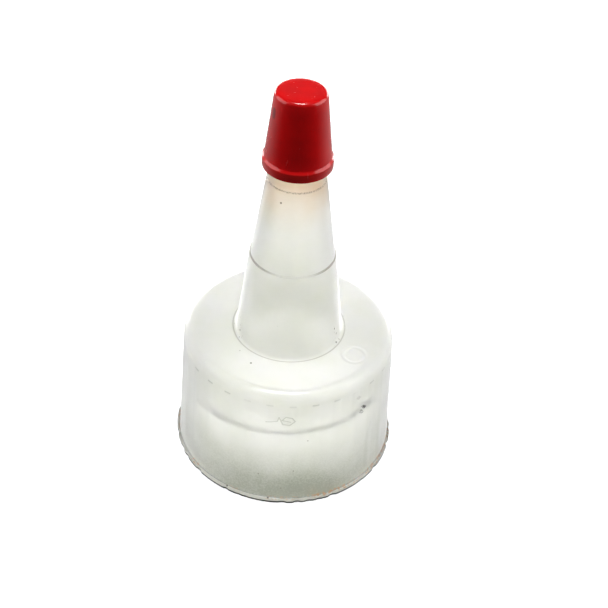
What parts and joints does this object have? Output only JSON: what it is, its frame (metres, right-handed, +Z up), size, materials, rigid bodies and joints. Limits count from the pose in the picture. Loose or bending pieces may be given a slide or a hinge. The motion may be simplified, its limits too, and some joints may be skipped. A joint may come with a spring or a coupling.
{
  "type": "liquor pour spout",
  "caption": "Screw-on pour spout for a narrow bottle neck: threaded ribbed closure with a stepped conical spout, and a push-on sealer tip.",
  "frame": {"origin": "centre of the open rim of the skirt, on the plane that the closure stands on", "axes": "+Z up the spout, along the common axis of skirt, thread, spout and tip; +X and +Y across the skirt, with the small moulded ring on the deck in the +X -Y quarter"},
  "size_m": [0.031, 0.031, 0.0557],
  "materials": {
    "natural_polyethylene": "milky translucent, satin moulded",
    "red_polyethylene": "opaque, glossy moulded"
  },
  "bodies": {
    "closure": {"closure": "natural_polyethylene"},
    "sealer_tip": {"sealer_tip": "red_polyethylene"}
  },
  "joints": [
    {"name": "tip_pull", "type": "slide", "parent": "closure", "child": "sealer_tip", "axis": [0, 0, 1], "range_m": [0, 0.02]}
  ]
}
